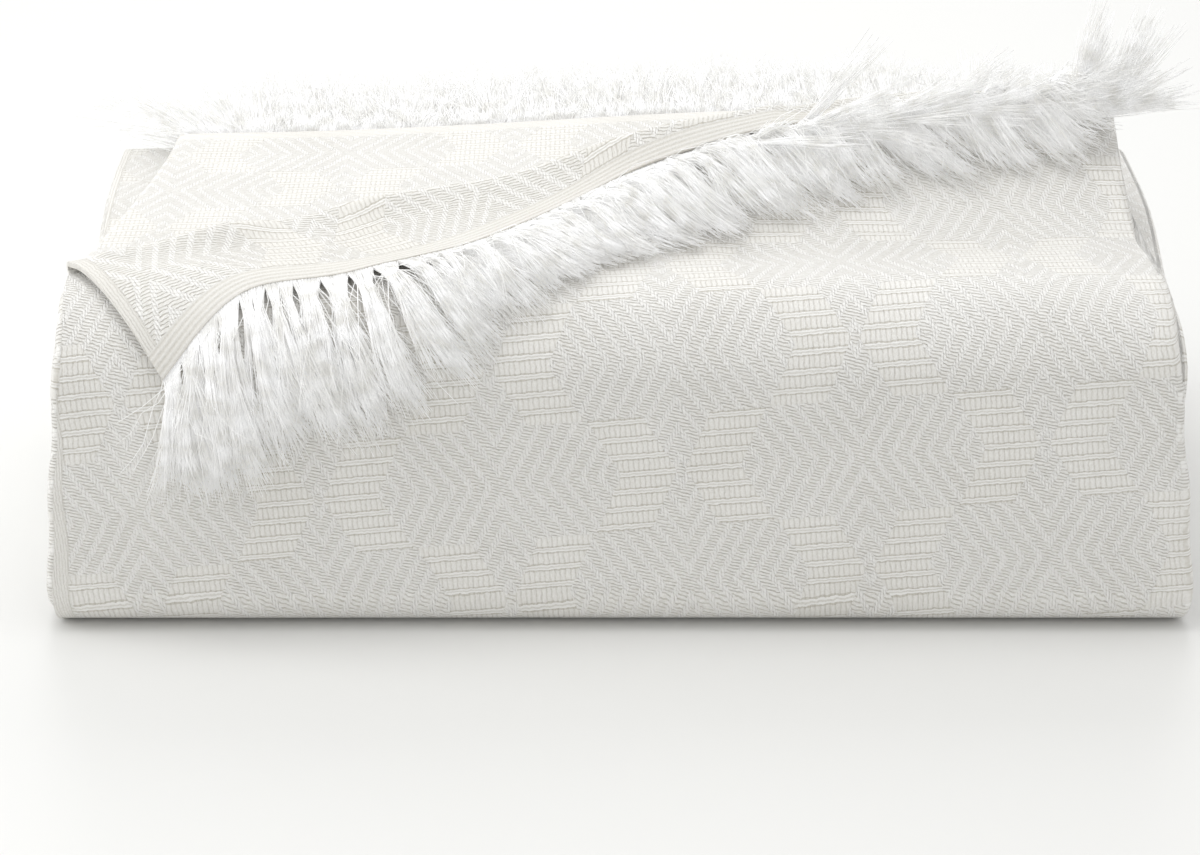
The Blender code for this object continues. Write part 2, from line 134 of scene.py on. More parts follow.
# Main creases, listed one by one: surface, x and s of both ends, half width, height (minus: a trough).
CREASES = (
    ("outer", 0.060, 0.028, 0.238, 0.050, 0.0120, -0.0024),
    ("outer", 0.020, -0.020, 0.160, 0.004, 0.0110, 0.0010),
    ("outer", 0.150, -0.010, 0.240, -0.040, 0.0120, 0.0012),
    ("outer", -0.236, -0.030, -0.214, -0.130, 0.0080, -0.0012),
    ("outer", -0.215, -0.060, -0.196, -0.120, 0.0100, 0.0011),
    ("outer", -0.120, -0.052, -0.020, -0.060, 0.0110, 0.0009),
    ("outer", 0.040, -0.100, 0.120, -0.080, 0.0140, -0.0009),
    ("outer", 0.222, -0.060, 0.236, -0.150, 0.0080, -0.0011),
    ("outer", 0.180, -0.075, 0.200, -0.140, 0.0120, 0.0008),
    ("outer", -0.060, -0.150, 0.080, -0.158, 0.0080, 0.0006),
    ("lower", -0.190, 0.060, -0.120, 0.150, 0.0120, 0.0006),
    ("lower", -0.120, 0.205, 0.020, 0.178, 0.0100, -0.0005),
    ("flap", -0.225, 0.012, -0.129, 0.0560, 0.0110, 0.0080),
    ("flap", -0.113, 0.0625, 0.070, 0.112, 0.0100, 0.0075),
    ("flap", -0.120, 0.030, -0.010, 0.070, 0.0090, -0.0009),
    ("flap", -0.030, 0.070, 0.080, 0.108, 0.0080, 0.0008),
)
CREASE_SWELL = 0.25  # how much a crease swells and thins along its length
CREASES_END, CREASES_FADE = 0.155, 0.02  # where the front's creases fade out near the floor

# A vertex of the woven figure on each surface: x, way along the strip, and the figure's turn in
# degrees. On the flap the first two are the way along the fringed edge and the way from it.
FIGURE = {
    "outer": (0.0279, -0.0971, 4.76),
    "lower": (-0.1310, 0.1370, 0.0),
    "flap": (0.0979, 0.0340, 0.0),
}
FAR_FROM_END = 0.2  # ply one's end is on the flap, so its plain band shows nowhere else
HIDDEN_END = 0.02  # the cloth's other end, inside the bundle, has no plain band

# How the front fringe falls, at places along the edge from left to right: lean in degrees from
# straight down the bundle's front, length as a share, and lift in metres.
FALL_COLUMNS = ("place", "lean", "length", "lift")
FALL = (
    (0.00, 8, 0.86, 0.000),
    (0.10, 14, 1.00, 0.001),
    (0.25, 30, 0.86, 0.002),
    (0.45, 42, 0.78, 0.004),
    (0.65, 50, 0.76, 0.007),
    (0.85, 60, 0.70, 0.010),
    (1.00, 66, 0.72, 0.012),
)


# Small shared helpers


def linear(hex_colour):
    """A linear RGBA colour from an sRGB hex one."""
    parts = [int(hex_colour[i : i + 2], 16) / 255 for i in (1, 3, 5)]
    return [c / 12.92 if c <= 0.04045 else ((c + 0.055) / 1.055) ** 2.4 for c in parts] + [1.0]


def add(tree, kind, inputs, **settings):
    """Add a node with its settings; inputs maps a socket to a value or to another node's output."""
    made = tree.nodes.new(kind)
    for name, value in settings.items():
        setattr(made, name, value)
    for socket, value in inputs.items():
        if isinstance(value, bpy.types.NodeSocket):
            tree.links.new(value, made.inputs[socket])
        else:
            made.inputs[socket].default_value = value
    return made


def smooth(v):
    """An even step from 0 to 1, level at both ends."""
    v = np.clip(v, 0.0, 1.0)
    return v * v * (3 - 2 * v)


def along(name, t):
    """A column of the flap's table, read at t from 0 to 1 through a smooth curve."""
    values = np.array([row[FLAP_COLUMNS.index(name)] for row in FLAP])
    n = len(values) - 1
    f = np.clip(np.asarray(t, float), 0, 1) * n
    i = np.clip(np.floor(f).astype(int), 0, n - 1)
    u = f - i
    a, b = values[np.maximum(i - 1, 0)], values[i]
    c, d = values[i + 1], values[np.minimum(i + 2, n)]
    return 0.5 * (
        2 * b + (c - a) * u + (2 * a - 5 * b + 4 * c - d) * u**2 + (3 * b - a - 3 * c + d) * u**3
    )


def wobble(k, seed):
    """A repeatable uneven value from -1 to 1."""
    v = math.sin(k * 12.9898 + seed * 78.233) * 43758.5453
    return 2 * (v - math.floor(v)) - 1


# The folded cloth, on the solid's own folds

PLY1_R = TOP_R + 1.5 * PLY
PLY1_Z = Z_OF[7] + 1.5 * PLY
CREST = PLY1_R * math.pi / 2


def creased(surface, x, s):
    """Height of the listed creases of one surface."""
    total = 0.0 * x
    for name, x0, s0, x1, s1, wide, high in CREASES:
        if name != surface:
            continue
        dx, ds = x1 - x0, s1 - s0
        f = np.clip(((x - x0) * dx + (s - s0) * ds) / (dx * dx + ds * ds), 0, 1)
        away = np.hypot(x - x0 - f * dx, s - s0 - f * ds)
        swell = 1 - CREASE_SWELL + CREASE_SWELL * np.sin(9 * f + 40 * x0)
        total = total + high * np.exp(-((away / wide) ** 2)) * swell
    return total


def on_ply_one(x, s, g):
    """A point g outside the middle of ply one, s along it from the start of the top panel."""
    a = np.clip(-s / PLY1_R, 0, math.pi / 2)
    y = TOP_START - (PLY1_R + g) * np.sin(a) + np.maximum(s, 0)
    z = PLY1_Z - PLY1_R + (PLY1_R + g) * np.cos(a) + np.minimum(s + CREST, 0)
    return np.stack([x + 0 * s, y, z], -1)


def rise(x, s):
    """How far ply one is raised above its flat place."""
    t = np.clip((x - FLAP[0][0]) / (FLAP[-1][0] - FLAP[0][0]), 0, 1)
    start, top = along("raised_from", t), along("ridge_s", t)
    return along("raised", t) * smooth((s - start) / (top - start))


def ridge_frame(t):
    """(x, s) of the ridge and its level normal, which points to the rear."""
    step = 0.02
    lo, hi = np.clip(t - step, 0, 1), np.clip(t + step, 0, 1)
    dx = along("ridge_x", hi) - along("ridge_x", lo)
    ds = along("ridge_s", hi) - along("ridge_s", lo)
    n = np.hypot(dx, ds)
    return along("ridge_x", t), along("ridge_s", t), -ds / n, dx / n


def under_point(t, f):
    """Ply one from the foot of the crest, f = 0, to the start of the roll, f = 1."""
    x, s, nx, ns = ridge_frame(t)
    r = along("roll", t)
    even = -CREST + (s - ns * r + CREST) * f
    bent = np.where(f < 0.5, -CREST * (1 - 2 * f), (s - ns * r) * (2 * f - 1))
    mix = smooth((t - 0.08) / 0.25)
    sj = even * (1 - mix) + bent * mix
    x0 = -HALF_TOP + 2 * HALF_TOP * t
    xj = x0 + (x - nx * r - x0) * smooth((sj + CREST) / (s - ns * r + CREST))
    return xj, sj, rise(xj, sj)


def over_point(t, k):
    """Ply one past the roll's start, k rows on: round the ridge, then back to the fringed edge."""
    x, s, nx, ns = ridge_frame(t)
    r = along("roll", t)
    base = rise(x - nx * r, s - ns * r)
    a = np.pi * np.minimum(k / ROLL_ROWS, 1)
    rx, rs = x - nx * r + nx * r * np.sin(a), s - ns * r + ns * r * np.sin(a)
    rg = base + r - r * np.cos(a)
    w = np.clip((k - ROLL_ROWS) / FLAP_ROWS, 0, 1)
    fx = x - nx * r + (along("edge_x", t) - x + nx * r) * w
    fs = s - ns * r + (along("edge_s", t) - s + ns * r) * w
    fg = rise(fx, fs) + 2 * r + (FLAP_GAP - 2 * r) * smooth(w * 2)
    fg = fg + creased("flap", fx, fs) * smooth(w * 10)
    over = k > ROLL_ROWS
    return np.where(over, fx, rx), np.where(over, fs, rs), np.where(over, fg, rg), w


def settle(p):
    """The bundle's own unevenness: slack in the wall, a slightly crowned top, uneven sides."""
    x, y, z = p[..., 0], p[..., 1], p[..., 2]
    up = np.clip(z / HEIGHT, 0, 1.4)
    wall = np.exp(-(((y - FRONT_Y) / WALL_REACH) ** 2))
    slack = WALL_SAG
    for high, turns, phase in WALL_WAVES:
        slack = slack + high * np.sin(turns * x + phase)
    dy = wall * np.sin(np.pi * np.clip(up, 0, 1)) * slack
    lifted = smooth((z - 0.006) / 0.03)
    crown = CROWN * np.cos(6.2 * x) + TOP_WAVE * np.sin(11 * x + 8 * y)
    dz = lifted * up * (crown - SIDE_SAG * smooth((np.abs(x) - 0.2) / 0.05))
    ends = np.sign(x) * smooth((np.abs(x) - 0.18) / 0.06)
    dx = ends * (LAYER_WAVE * np.sin(21 * z / HEIGHT + 9 * y) + SIDE_WAVE * np.sin(26 * y + 3 * x))
    return np.stack([x + dx, y + dy, z + dz], -1) + PLACED


def half_width(name, y, z):
    """(half width, shift) of the strip at a place in the stack."""
    back = float(smooth((y - TOP_START) / (END_TOP - TOP_START)))
    if name == "top":
        return HALF_TOP + (HALF_TOP_REAR - HALF_TOP) * back, TOP_SHIFT * back
    if name in ("crest", "wall", "foot", "base"):
        down = float(smooth((HEIGHT - z) / HEIGHT))
        return HALF_TOP + (HALF_BOTTOM - HALF_TOP) * down, FOOT_SHIFT * down
    if name == "rear_a":
        f = float(smooth((z - Z_OF[0]) / STRIP))
        half = HALF_BOTTOM + (HALF_INNER_REAR - HALF_BOTTOM) * f
        return half, FOOT_SHIFT + (INNER_SHIFT - FOOT_SHIFT) * f
    if name in ("wall2", "bend2a", "bend2b", "wall3", "bend3a", "bend3b", "bend4"):
        return HALF_INNER, INNER_SHIFT
    return HALF_INNER + (HALF_INNER_REAR - HALF_INNER) * back, INNER_SHIFT


def strip_rows():
    """Rows along the strip as (way, Y, Z, heading, panel name), from the rear of the top panel."""
    y, z, head, way = END_TOP, Z_OF[7], math.pi, 0.0
    rows = [(way, y, z, head, RUNS[0][3])]
    for kind, size, count, name in RUNS:
        turn = 0.0
        if kind != "line":
            turn = math.pi if kind.endswith("2") else math.pi / 2
            turn = turn if kind.startswith("ccw") else -turn
        length = size if kind == "line" else size * abs(turn)
        start = (y, z, head)
        for k in range(1, count + 1):
            f = k / count
            if turn == 0.0:
                y = start[0] + math.cos(head) * size * f
                z = start[1] + math.sin(head) * size * f
            else:
                side = 1 if turn > 0 else -1
                head = start[2] + turn * f
                y = start[0] + (math.sin(head) - math.sin(start[2])) * size * side
                z = start[1] + (math.cos(start[2]) - math.cos(head)) * size * side
            rows.append((way + length * f, y, z, head, name))
        way += length
    return rows


def cloth_columns():
    """Columns across the cloth as arrays: ply, t from left to right, h, outward bump, loop share."""
    out = []
    hs = [1.5 * PLY, 0.5 * PLY, -0.5 * PLY, -1.5 * PLY]
    for ply, n in enumerate(PLY_COLUMNS):
        for k in range(n + 1):
            t = (k / n) ** CROWDED_LEFT if ply == 0 else k / n if ply % 2 == 0 else 1 - k / n
            out.append((ply, t, hs[ply], 0.0, 0.0))
        if ply < PLIES - 1:
            side = 1 if ply % 2 == 0 else -1
            for k in range(1, LOOP_COLUMNS):
                a = math.pi * k / LOOP_COLUMNS
                h = (hs[ply] + hs[ply + 1]) / 2 + PLY / 2 * math.cos(a)
                bump, share = side * PLY / 2 * math.sin(a), 0.5 - 0.5 * math.cos(a)
                out.append((ply, 1.0 if side > 0 else 0.0, h, bump, share))
    return [np.array(c) for c in zip(*out)]


def laid_across(ply, x, share):
    """Where a column lies across the opened cloth, from where it lies across the bundle."""
    loop = math.pi * PLY / 2
    flat = np.where(ply % 2 == 0, x, -x) + ply * (2 * HALF_TOP + loop)
    return flat + share * loop * 0.5


def in_figure(surface, place):
    """Flat places, measured from a vertex of the woven figure and turned with it."""
    x, s, turn = FIGURE[surface]
    c, d = math.cos(math.radians(turn)), math.sin(math.radians(turn))
    across, way = place[..., 0] - x, place[..., 1] - s
    return np.stack([across * c + way * d, way * c - across * d], -1)


def cloth_surface():
    """The folded cloth by row and column.

    Returns its points, the flat places of its weave as a strip and as the flap, how far each point
    is from the side and the end of the cloth, which cells exist, and the flap's number of rows.
    """
    rows = strip_rows()
    ply, t, h, bump, share = cloth_columns()
    wide = PLY_COLUMNS[0] + 1
    flap = ROLL_ROWS + FLAP_ROWS
    under = TOP_ROWS + CREST_ROWS
    pts = np.zeros((flap + len(rows), len(t), 3))
    lie = np.zeros((flap + len(rows), len(t), 2))
    top_way = RUNS[0][1]
    for i, (way, y, z, head, name) in enumerate(rows):
        ny, nz = math.cos(head - math.pi / 2), math.sin(head - math.pi / 2)
        half, shift = half_width(name, y, z)
        x = (2 * t - 1) * half + shift + bump
        p = np.stack([x, y + ny * h, z + nz * h], -1)
        if name == "top":
            s = y - TOP_START + 0 * x
            p[:, 2] += LOWER_SHARE * rise(x, s) + creased("lower", x, s)
        if name in ("crest", "wall", "foot"):
            s = -CREST - (way - top_way - TOP_R * math.pi / 2)
            fade = 1 - smooth((-s - CREASES_END) / CREASES_FADE)
            g = creased("outer", x, s + 0 * x) * (ply == 0) * (share == 0) * fade
            p[:, 1] += ny * g
            p[:, 2] += nz * g
        pts[flap + i] = p
        past = way > top_way + 1e-9
        lie[flap + i, :, 0] = laid_across(ply, x - bump, share)
        lie[flap + i, :, 1] = top_way - way - (CREST - TOP_R * math.pi / 2 if past else 0.0) * (ply == 0)
    own = (ply == 0) & (share == 0)
    joins = (ply == 0) & (share > 0)
    for i in range(under + 1):
        x, s, g = under_point(t[own], np.array(1 - i / under))
        if i:
            g = g + creased("outer", x, s)
        pts[flap + i, own] = on_ply_one(x, s, g)
        lie[flap + i, own] = np.stack([x, s], -1)
        last, low = pts[flap + i, wide - 1], pts[flap + i, wide - 1 + LOOP_COLUMNS].copy()
        q = share[joins][:, None]
        bent = last + (low - last) * q
        bent[:, 0] += bump[joins]
        pts[flap + i, joins] = bent
        lie[flap + i, joins, 1] = s[-1]
    turned = lie.copy()
    ex, es = along("edge_x", t[:wide]), along("edge_s", t[:wide])
    edge = on_ply_one(ex, es, rise(ex, es))
    edge_way = np.concatenate([[0], np.cumsum(np.linalg.norm(np.diff(edge, axis=0), axis=1))])
    depth = np.linalg.norm(pts[flap, :wide] - edge, axis=1)
    for k in range(flap + 1):
        x, s, g, w = over_point(t[:wide], float(k))
        if k:
            pts[flap - k, :wide] = on_ply_one(x, s, g)
        round_roll = along("roll", t[:wide]) * math.pi * (1 - min(k / ROLL_ROWS, 1))
        turned[flap - k, :wide] = np.stack([edge_way, depth * (1 - w) + round_roll], -1)
    mask = np.ones((pts.shape[0] - 1, len(t) - 1), bool)
    mask[:flap, wide - 1 :] = False
    hems = np.zeros_like(lie)
    across = lie[..., 0]
    hems[..., 0] = np.minimum(across - across[flap:].min(), across[flap:].max() - across)
    from_start = np.array([row[0] for row in rows])[:, None]
    hems[flap:, :, 1] = np.where(ply == 0, FAR_FROM_END, from_start)
    hems[flap:, :, 1] = np.minimum(hems[flap:, :, 1], from_start[-1] - from_start + HIDDEN_END)
    hems[: flap + 1, :wide, 0] = t[:wide] * (2 * HALF_TOP)
    hems[: flap + 1, :wide, 1] = turned[: flap + 1, :wide, 1]
    second = laid_across(np.array(1), np.array(FIGURE["lower"][0]), 0.0) - FIGURE["lower"][0]
    inner = in_figure("lower", lie - np.array((second, 0.0)))
    lie = np.where(((ply > 0) | (share > 0.5))[None, :, None], inner, in_figure("outer", lie))
    return settle(pts), lie, in_figure("flap", turned), hems, mask, flap


def woven_sheet(name, thickness):
    """The cloth as one closed thin mesh.

    Its UV maps are the weave's flat places in metres, the ways from the hems, and a 1 on its reverse, where
    the material paints shade.
    """
    pts, lie, turned, hems, mask, flap = cloth_surface()
    index = -np.ones(pts.shape[:2], int)
    used = np.zeros(pts.shape[:2], bool)
    for di, dj in ((0, 0), (0, 1), (1, 0), (1, 1)):
        used[di : di + mask.shape[0], dj : dj + mask.shape[1]] |= mask
    index[used] = np.arange(used.sum())
    i, j = np.nonzero(mask)
    corners = [(i, j), (i + 1, j), (i + 1, j + 1), (i, j + 1)]
    quads = np.stack([index[c] for c in corners], -1)
    on_flap = (i < flap - ROLL_ROWS // 3)[:, None, None]
    as_flap = np.stack([turned[c] for c in corners], 1)
    as_strip = np.stack([lie[c] for c in corners], 1)
    weave = np.where(on_flap, as_flap, as_strip)
    edges = np.stack([hems[c] for c in corners], 1)
    # A 1 marks the turned-back end's reverse, which the material paints darker as shade.
    reverse = np.repeat(on_flap[:, :, 0], 4, 1).astype(float)
    side = np.stack([reverse, 0 * reverse], -1)
    mesh = bpy.data.meshes.new(name)
    mesh.from_pydata(pts[used].tolist(), [], quads.tolist())
    for title, values in (("weave", weave), ("hems", edges), ("side", side)):
        layer = mesh.uv_layers.new(name=title)
        layer.data.foreach_set("uv", values.reshape(-1).astype(np.float32))
    obj = bpy.data.objects.new(name, mesh)
    bpy.context.collection.objects.link(obj)
    solid = obj.modifiers.new("thickness", "SOLIDIFY")
    solid.thickness, solid.offset = thickness, 0.0
    bpy.context.view_layer.update()
    thick = bpy.data.meshes.new_from_object(obj.evaluated_get(bpy.context.evaluated_depsgraph_get()))
    obj.modifiers.clear()
    obj.data = thick
    obj.data.name = name
    bpy.data.meshes.remove(mesh)
    thick.shade_smooth()
    thick.set_sharp_from_angle(angle=math.radians(60))
    return obj


# Materials

MM = 1000.0  # millimetres in a metre


def material(name, sockets):
    """A new material with its shader's sockets set. Returns it, its node tree and its shader."""
    mat = bpy.data.materials.new(name)
    mat.use_nodes = True
    shader = mat.node_tree.nodes["Principled BSDF"]
    for socket, value in sockets.items():
        shader.inputs[socket].default_value = value
    return mat, mat.node_tree, shader


# The weave's quarter repeat, in millimetres of u across and v along the cloth. Each row adds one
# maths node: name, operation, then two or three inputs, which are numbers or earlier names.
LATTICE = (
    ("across", "PINGPONG", "u", "half_repeat_across"),
    ("down", "PINGPONG", "v", "half_repeat_along"),
    ("past_middle", "GREATER_THAN", "down", "middle"),
    ("turned", "MULTIPLY_ADD", "past_middle", -2.0, 1.0),
    ("far_across", "MULTIPLY", "past_middle", "half_repeat_across"),
    ("a", "MULTIPLY_ADD", "across", "turned", "far_across"),
    ("far_down", "MULTIPLY", "past_middle", "half_repeat_along"),
    ("b", "MULTIPLY_ADD", "down", "turned", "far_down"),
    ("lean", "MULTIPLY_ADD", "b", -0.491, "a"),
    ("ladder", "COMPARE", "lean", 14.1, 12.3),
    ("slant", "MULTIPLY_ADD", "b", 0.579, "a"),
    ("stripe_wave", "PINGPONG", "slant", 4.0),
    ("twill", "LESS_THAN", "stripe_wave", 2.45),
    ("rung_wave", "PINGPONG", "v", 4.15),
    ("rung", "LESS_THAN", "rung_wave", 1.05),
    ("rung_split", "COMPARE", "rung_wave", 0.0, 0.30),
    ("rung_shadow", "COMPARE", "rung_wave", 1.38, 0.33),
    ("rib_wave", "PINGPONG", "u", 1.15),
    ("rib_side", "DIVIDE", "rib_wave", 0.50),
    ("rib", "MINIMUM", "rib_side", 1.0),
    ("warp_wave", "PINGPONG", "u", "half_warp"),
    ("warp_side", "DIVIDE", "warp_wave", 0.28),
    ("warp", "MINIMUM", "warp_side", 1.0),
    ("stitch_way", "MULTIPLY_ADD", "u", 0.85, "v"),
    ("stitch_wave", "PINGPONG", "stitch_way", 1.05),
    ("stitch_side", "DIVIDE", "stitch_wave", 0.35),
    ("stitch", "MINIMUM", "stitch_side", 1.0),
    ("dash_way", "MULTIPLY_ADD", "u", 0.35, "v"),
    ("dash_wave", "PINGPONG", "dash_way", 0.78),
    ("dash_side", "DIVIDE", "dash_wave", 0.36),
    ("dash", "MINIMUM", "dash_side", 1.0),
    ("rung_high", "MULTIPLY_ADD", "rung_split", -0.50, 0.84),
    ("ribs_even", "MULTIPLY_ADD", "rib", 0.36, 0.02),
    ("ribs_high", "MULTIPLY_ADD", "streak_down", 0.30, "ribs_even"),
    ("ribs_low", "MULTIPLY_ADD", "rung_shadow", -0.50, "ribs_high"),
    ("rung_less", "SUBTRACT", "rung_high", "ribs_low"),
    ("ladder_high", "MULTIPLY_ADD", "rung", "rung_less", "ribs_low"),
    ("twill_even", "MULTIPLY_ADD", "dash", 0.62, -0.31),
    ("twill_high", "MULTIPLY_ADD", "streak_across", 0.60, "twill_even"),
    ("warp_high", "MULTIPLY_ADD", "warp", 0.42, -0.20),
    ("plain_even", "MULTIPLY_ADD", "stitch", 0.36, "warp_high"),
    ("plain_high", "MULTIPLY_ADD", "streak_down", 0.60, "plain_even"),
    ("twill_less", "SUBTRACT", "twill_high", "plain_high"),
    ("stripes_high", "MULTIPLY_ADD", "twill", "twill_less", "plain_high"),
    ("ladder_less", "SUBTRACT", "ladder_high", "stripes_high"),
    ("figured", "MULTIPLY_ADD", "ladder", "ladder_less", "stripes_high"),
)

# The plain-woven bands along the cut ends and the side hems, in millimetres from each edge.
HEMS = (
    ("end_band", "LESS_THAN", "from_end", "end_hem"),
    ("cord_wave", "PINGPONG", "from_end", 1.1),
    ("cord", "MULTIPLY_ADD", "cord_wave", 0.34, 0.20),
    ("side_band", "LESS_THAN", "from_side", "side_hem"),
    ("side_seam", "COMPARE", "from_side", "side_hem", 0.5),
    ("fine", "MULTIPLY_ADD", "warp", 0.30, 0.18),
    ("side_less", "SUBTRACT", "fine", "figured"),
    ("with_side", "MULTIPLY_ADD", "side_band", "side_less", "figured"),
    ("with_seam", "MULTIPLY_ADD", "side_seam", -0.15, "with_side"),
    ("end_less", "SUBTRACT", "cord", "with_seam"),
    ("woven", "MULTIPLY_ADD", "end_band", "end_less", "with_seam"),
)

# Fuzz over the threads, broad patches, and painted shade on the reverse, which the turned-back end shows: its
# forward-tilted face is painted darker.
SHADING = (
    ("level", "MULTIPLY_ADD", "fuzz", 0.55, "woven"),
    ("duller", "MULTIPLY_ADD", "reverse", "reverse_painted_shade", 0.0),
    ("even", "MULTIPLY_ADD", "patches", 0.25, "level"),
    ("shade", "SUBTRACT", "even", "duller"),
)

# Noises over the flat cloth, waves a millimetre: name, stretch if any, scale, detail, roughness. The
# threads wander over some three millimetres, fuzz is finer than one, patches are centimetres across,
# and the streaks follow single threads.
NOISES = (
    ("wander", None, 0.35, 2.0, 0.5),
    ("fuzz", None, 1.1, 3.0, 0.7),
    ("patches", None, 0.02, 3.0, 0.5),
    ("streak_down", (1.35, 0.38, 1.0), 1.0, 1.0, 0.5),
    ("streak_across", (0.36, 1.45, 1.0), 1.0, 1.0, 0.5),
)


def jacquard_cotton(settings):
    """Woven cotton, a jacquard of warp-faced stripes, weft twill and ladders of long weft floats.

    The floats are painted lighter, as where they catch the light, and the lower ground between them darker,
    as painted shade; the same relief drives the bump. The threads are drawn coarser than real ones, 1.3 to
    2.3 mm apart, so that they show in the render.
    """
    # Matt cotton with a little sheen from its loose fibres.
    cotton = {"Roughness": 0.88, "Specular IOR Level": 0.25, "Sheen Weight": 0.15, "Sheen Roughness": 0.5}
    mat, tree, shader = material("woven cotton jacquard", cotton)
    known = {
        "half_repeat_across": settings.repeat_across * MM / 2,
        "half_repeat_along": settings.repeat_along * MM / 2,
        "middle": settings.repeat_along * MM / 4,
        "half_warp": settings.warp_pitch * MM / 2,
        "end_hem": settings.end_hem * MM,
        "side_hem": settings.side_hem * MM,
        "reverse_painted_shade": settings.reverse_painted_shade,
    }
    weave = add(tree, "ShaderNodeUVMap", {}, uv_map="weave").outputs["UV"]
    millimetres = add(tree, "ShaderNodeVectorMath", {0: weave, "Scale": MM}, operation="SCALE")
    noises = {}
    for name, stretch, scale, detail, roughness in NOISES:
        place = millimetres.outputs[0]
        if stretch:
            drawn = add(tree, "ShaderNodeVectorMath", {0: place, 1: stretch}, operation="MULTIPLY")
            place = drawn.outputs[0]
        sockets = {"Vector": place, "Scale": scale, "Detail": detail, "Roughness": roughness}
        noises[name] = add(tree, "ShaderNodeTexNoise", sockets, noise_dimensions="2D")
        known[name] = noises[name].outputs["Fac"]
    centred = {0: noises["wander"].outputs["Color"], 1: (0.5, 0.5, 0.5)}
    drift = add(tree, "ShaderNodeVectorMath", centred, operation="SUBTRACT")
    moved = {0: drift.outputs[0], 1: (1.2, 1.2, 0), 2: millimetres.outputs[0]}
    uneven = add(tree, "ShaderNodeVectorMath", moved, operation="MULTIPLY_ADD")
    flat = add(tree, "ShaderNodeSeparateXYZ", {"Vector": uneven.outputs[0]})
    hems = add(tree, "ShaderNodeUVMap", {}, uv_map="hems").outputs["UV"]
    from_edges = add(tree, "ShaderNodeVectorMath", {0: hems, "Scale": MM}, operation="SCALE")
    edges = add(tree, "ShaderNodeSeparateXYZ", {"Vector": from_edges.outputs[0]})
    known.update(u=flat.outputs["X"], v=flat.outputs["Y"])
    known.update(from_side=edges.outputs["X"], from_end=edges.outputs["Y"])
    # The reverse, on the turned-back end, gets painted shade below.
    reverse = add(tree, "ShaderNodeUVMap", {}, uv_map="side").outputs["UV"]
    known["reverse"] = add(tree, "ShaderNodeSeparateXYZ", {"Vector": reverse}).outputs["X"]
    for name, operation, *terms in LATTICE + HEMS + SHADING:
        inputs = {k: known[term] if isinstance(term, str) else term for k, term in enumerate(terms)}
        known[name] = add(tree, "ShaderNodeMath", inputs, operation=operation).outputs[0]
    relief = {"Height": known["level"], "Strength": 1.0, "Distance": settings.float_height}
    bump = add(tree, "ShaderNodeBump", relief)
    # The relief is painted into the colour: high floats light and low ground dark, as painted light and
    # shade.
    spread = {"Value": known["shade"], "From Min": 0.25, "From Max": 1.15}
    range_of = add(tree, "ShaderNodeMapRange", spread)
    ground, floats = linear(settings.shaded_ground_colour), linear(settings.float_colour)
    tint = add(tree, "ShaderNodeMix", {0: range_of.outputs[0], 6: ground, 7: floats}, data_type="RGBA")
    tree.links.new(tint.outputs[2], shader.inputs["Base Color"])
    tree.links.new(bump.outputs[0], shader.inputs["Normal"])
    return mat


def glowing_brushed_yarn(settings):
    """Brushed-out cotton fringe yarn: paler than the cloth, and whitened more by a painted glow."""
    # Painted glow, for light that goes from fibre to fibre more often than it is traced.
    pale = linear(settings.yarn_colour)
    yarn = {"Roughness": 0.9, "Specular IOR Level": 0.2, "Sheen Weight": 0.25}
    yarn.update({"Emission Color": pale, "Emission Strength": 0.16})
    mat, tree, shader = material("brushed cotton yarn", yarn)
    # Darker patches of about 8 mm: yarns that differ in whiteness, and painted shade among the strands.
    place = add(tree, "ShaderNodeTexCoord", {}).outputs["Object"]
    patch = add(tree, "ShaderNodeTexNoise", {"Vector": place, "Scale": 130.0, "Detail": 2.0})
    spread = {"Value": patch.outputs["Fac"], "From Min": 0.30, "From Max": 0.62}
    fibres = add(tree, "ShaderNodeMapRange", spread)
    tints = {0: fibres.outputs[0], 6: linear(settings.shade_colour), 7: pale}
    tint = add(tree, "ShaderNodeMix", tints, data_type="RGBA")
    tree.links.new(tint.outputs[2], shader.inputs["Base Color"])
    return mat


# Fringe

FRONT_PIECES = 3
FRONT_SEED, REAR_SEED, TUBE_SEED = 20, 31, 7
STRAND_SIDES = 3
THICKNESS_SPREAD, TIP_THINNER = (0.75, 1.15), 0.45  # a strand's thickness, and how it thins to its tip
LOCK_HALF = 0.55  # half the width that a lock's roots take, in locks, so that neighbours mix
ROOT_RANGE = (0.0005, 0.9995)

# How uneven the front fringe is: leans in radians, distances in metres, the rest shares or factors.
LEAN_BY_LOCK, LEAN_BY_GROUP, LEAN_BY_YARN, LEAN_BY_STRAND, LEAN_LOOSE = 0.13, 0.10, 0.06, 0.03, 0.35
LENGTH_BY_LOCK, LENGTH_BY_YARN, LONGEST = 0.08, 0.09, 1.05
LOOSE_SHARE, LOOSE_HIGH = 0.06, 0.008
PAIRED, GATHERED = 0.6, 0.92  # how far locks join in pairs at the left, and yarns in their lock
YARN_ASIDE, YARN_SWAY, KINK = 0.0014, 0.0009, 0.00040
FRIZZY_SHARE, FRIZZY, CALM = 0.30, 2.2, 0.7
ABOVE_PLY, LEAST_ABOVE_PLY, LAYERS_DEEP = 0.0034, 0.0028, 0.0090

# Leans, in radians to the right, of the tuft of ten locks that stands at the right end.
SPIKES = np.array([-0.25, 0.20, 0.75, 0.05, 1.15, 0.45, -0.05, 0.95, 0.30, 0.65])
# Some yarns before it rise along the ridge: which way they point, and their spread by yarn.
ALONG_RIDGE, RIDGE_SPREAD = np.array((0.84, -0.12, 0.40)), (0.20, 0.12, 0.20)
RISEN_SHARE, RISEN_FROM, RISEN_REACH = 0.50, 0.55, 0.92

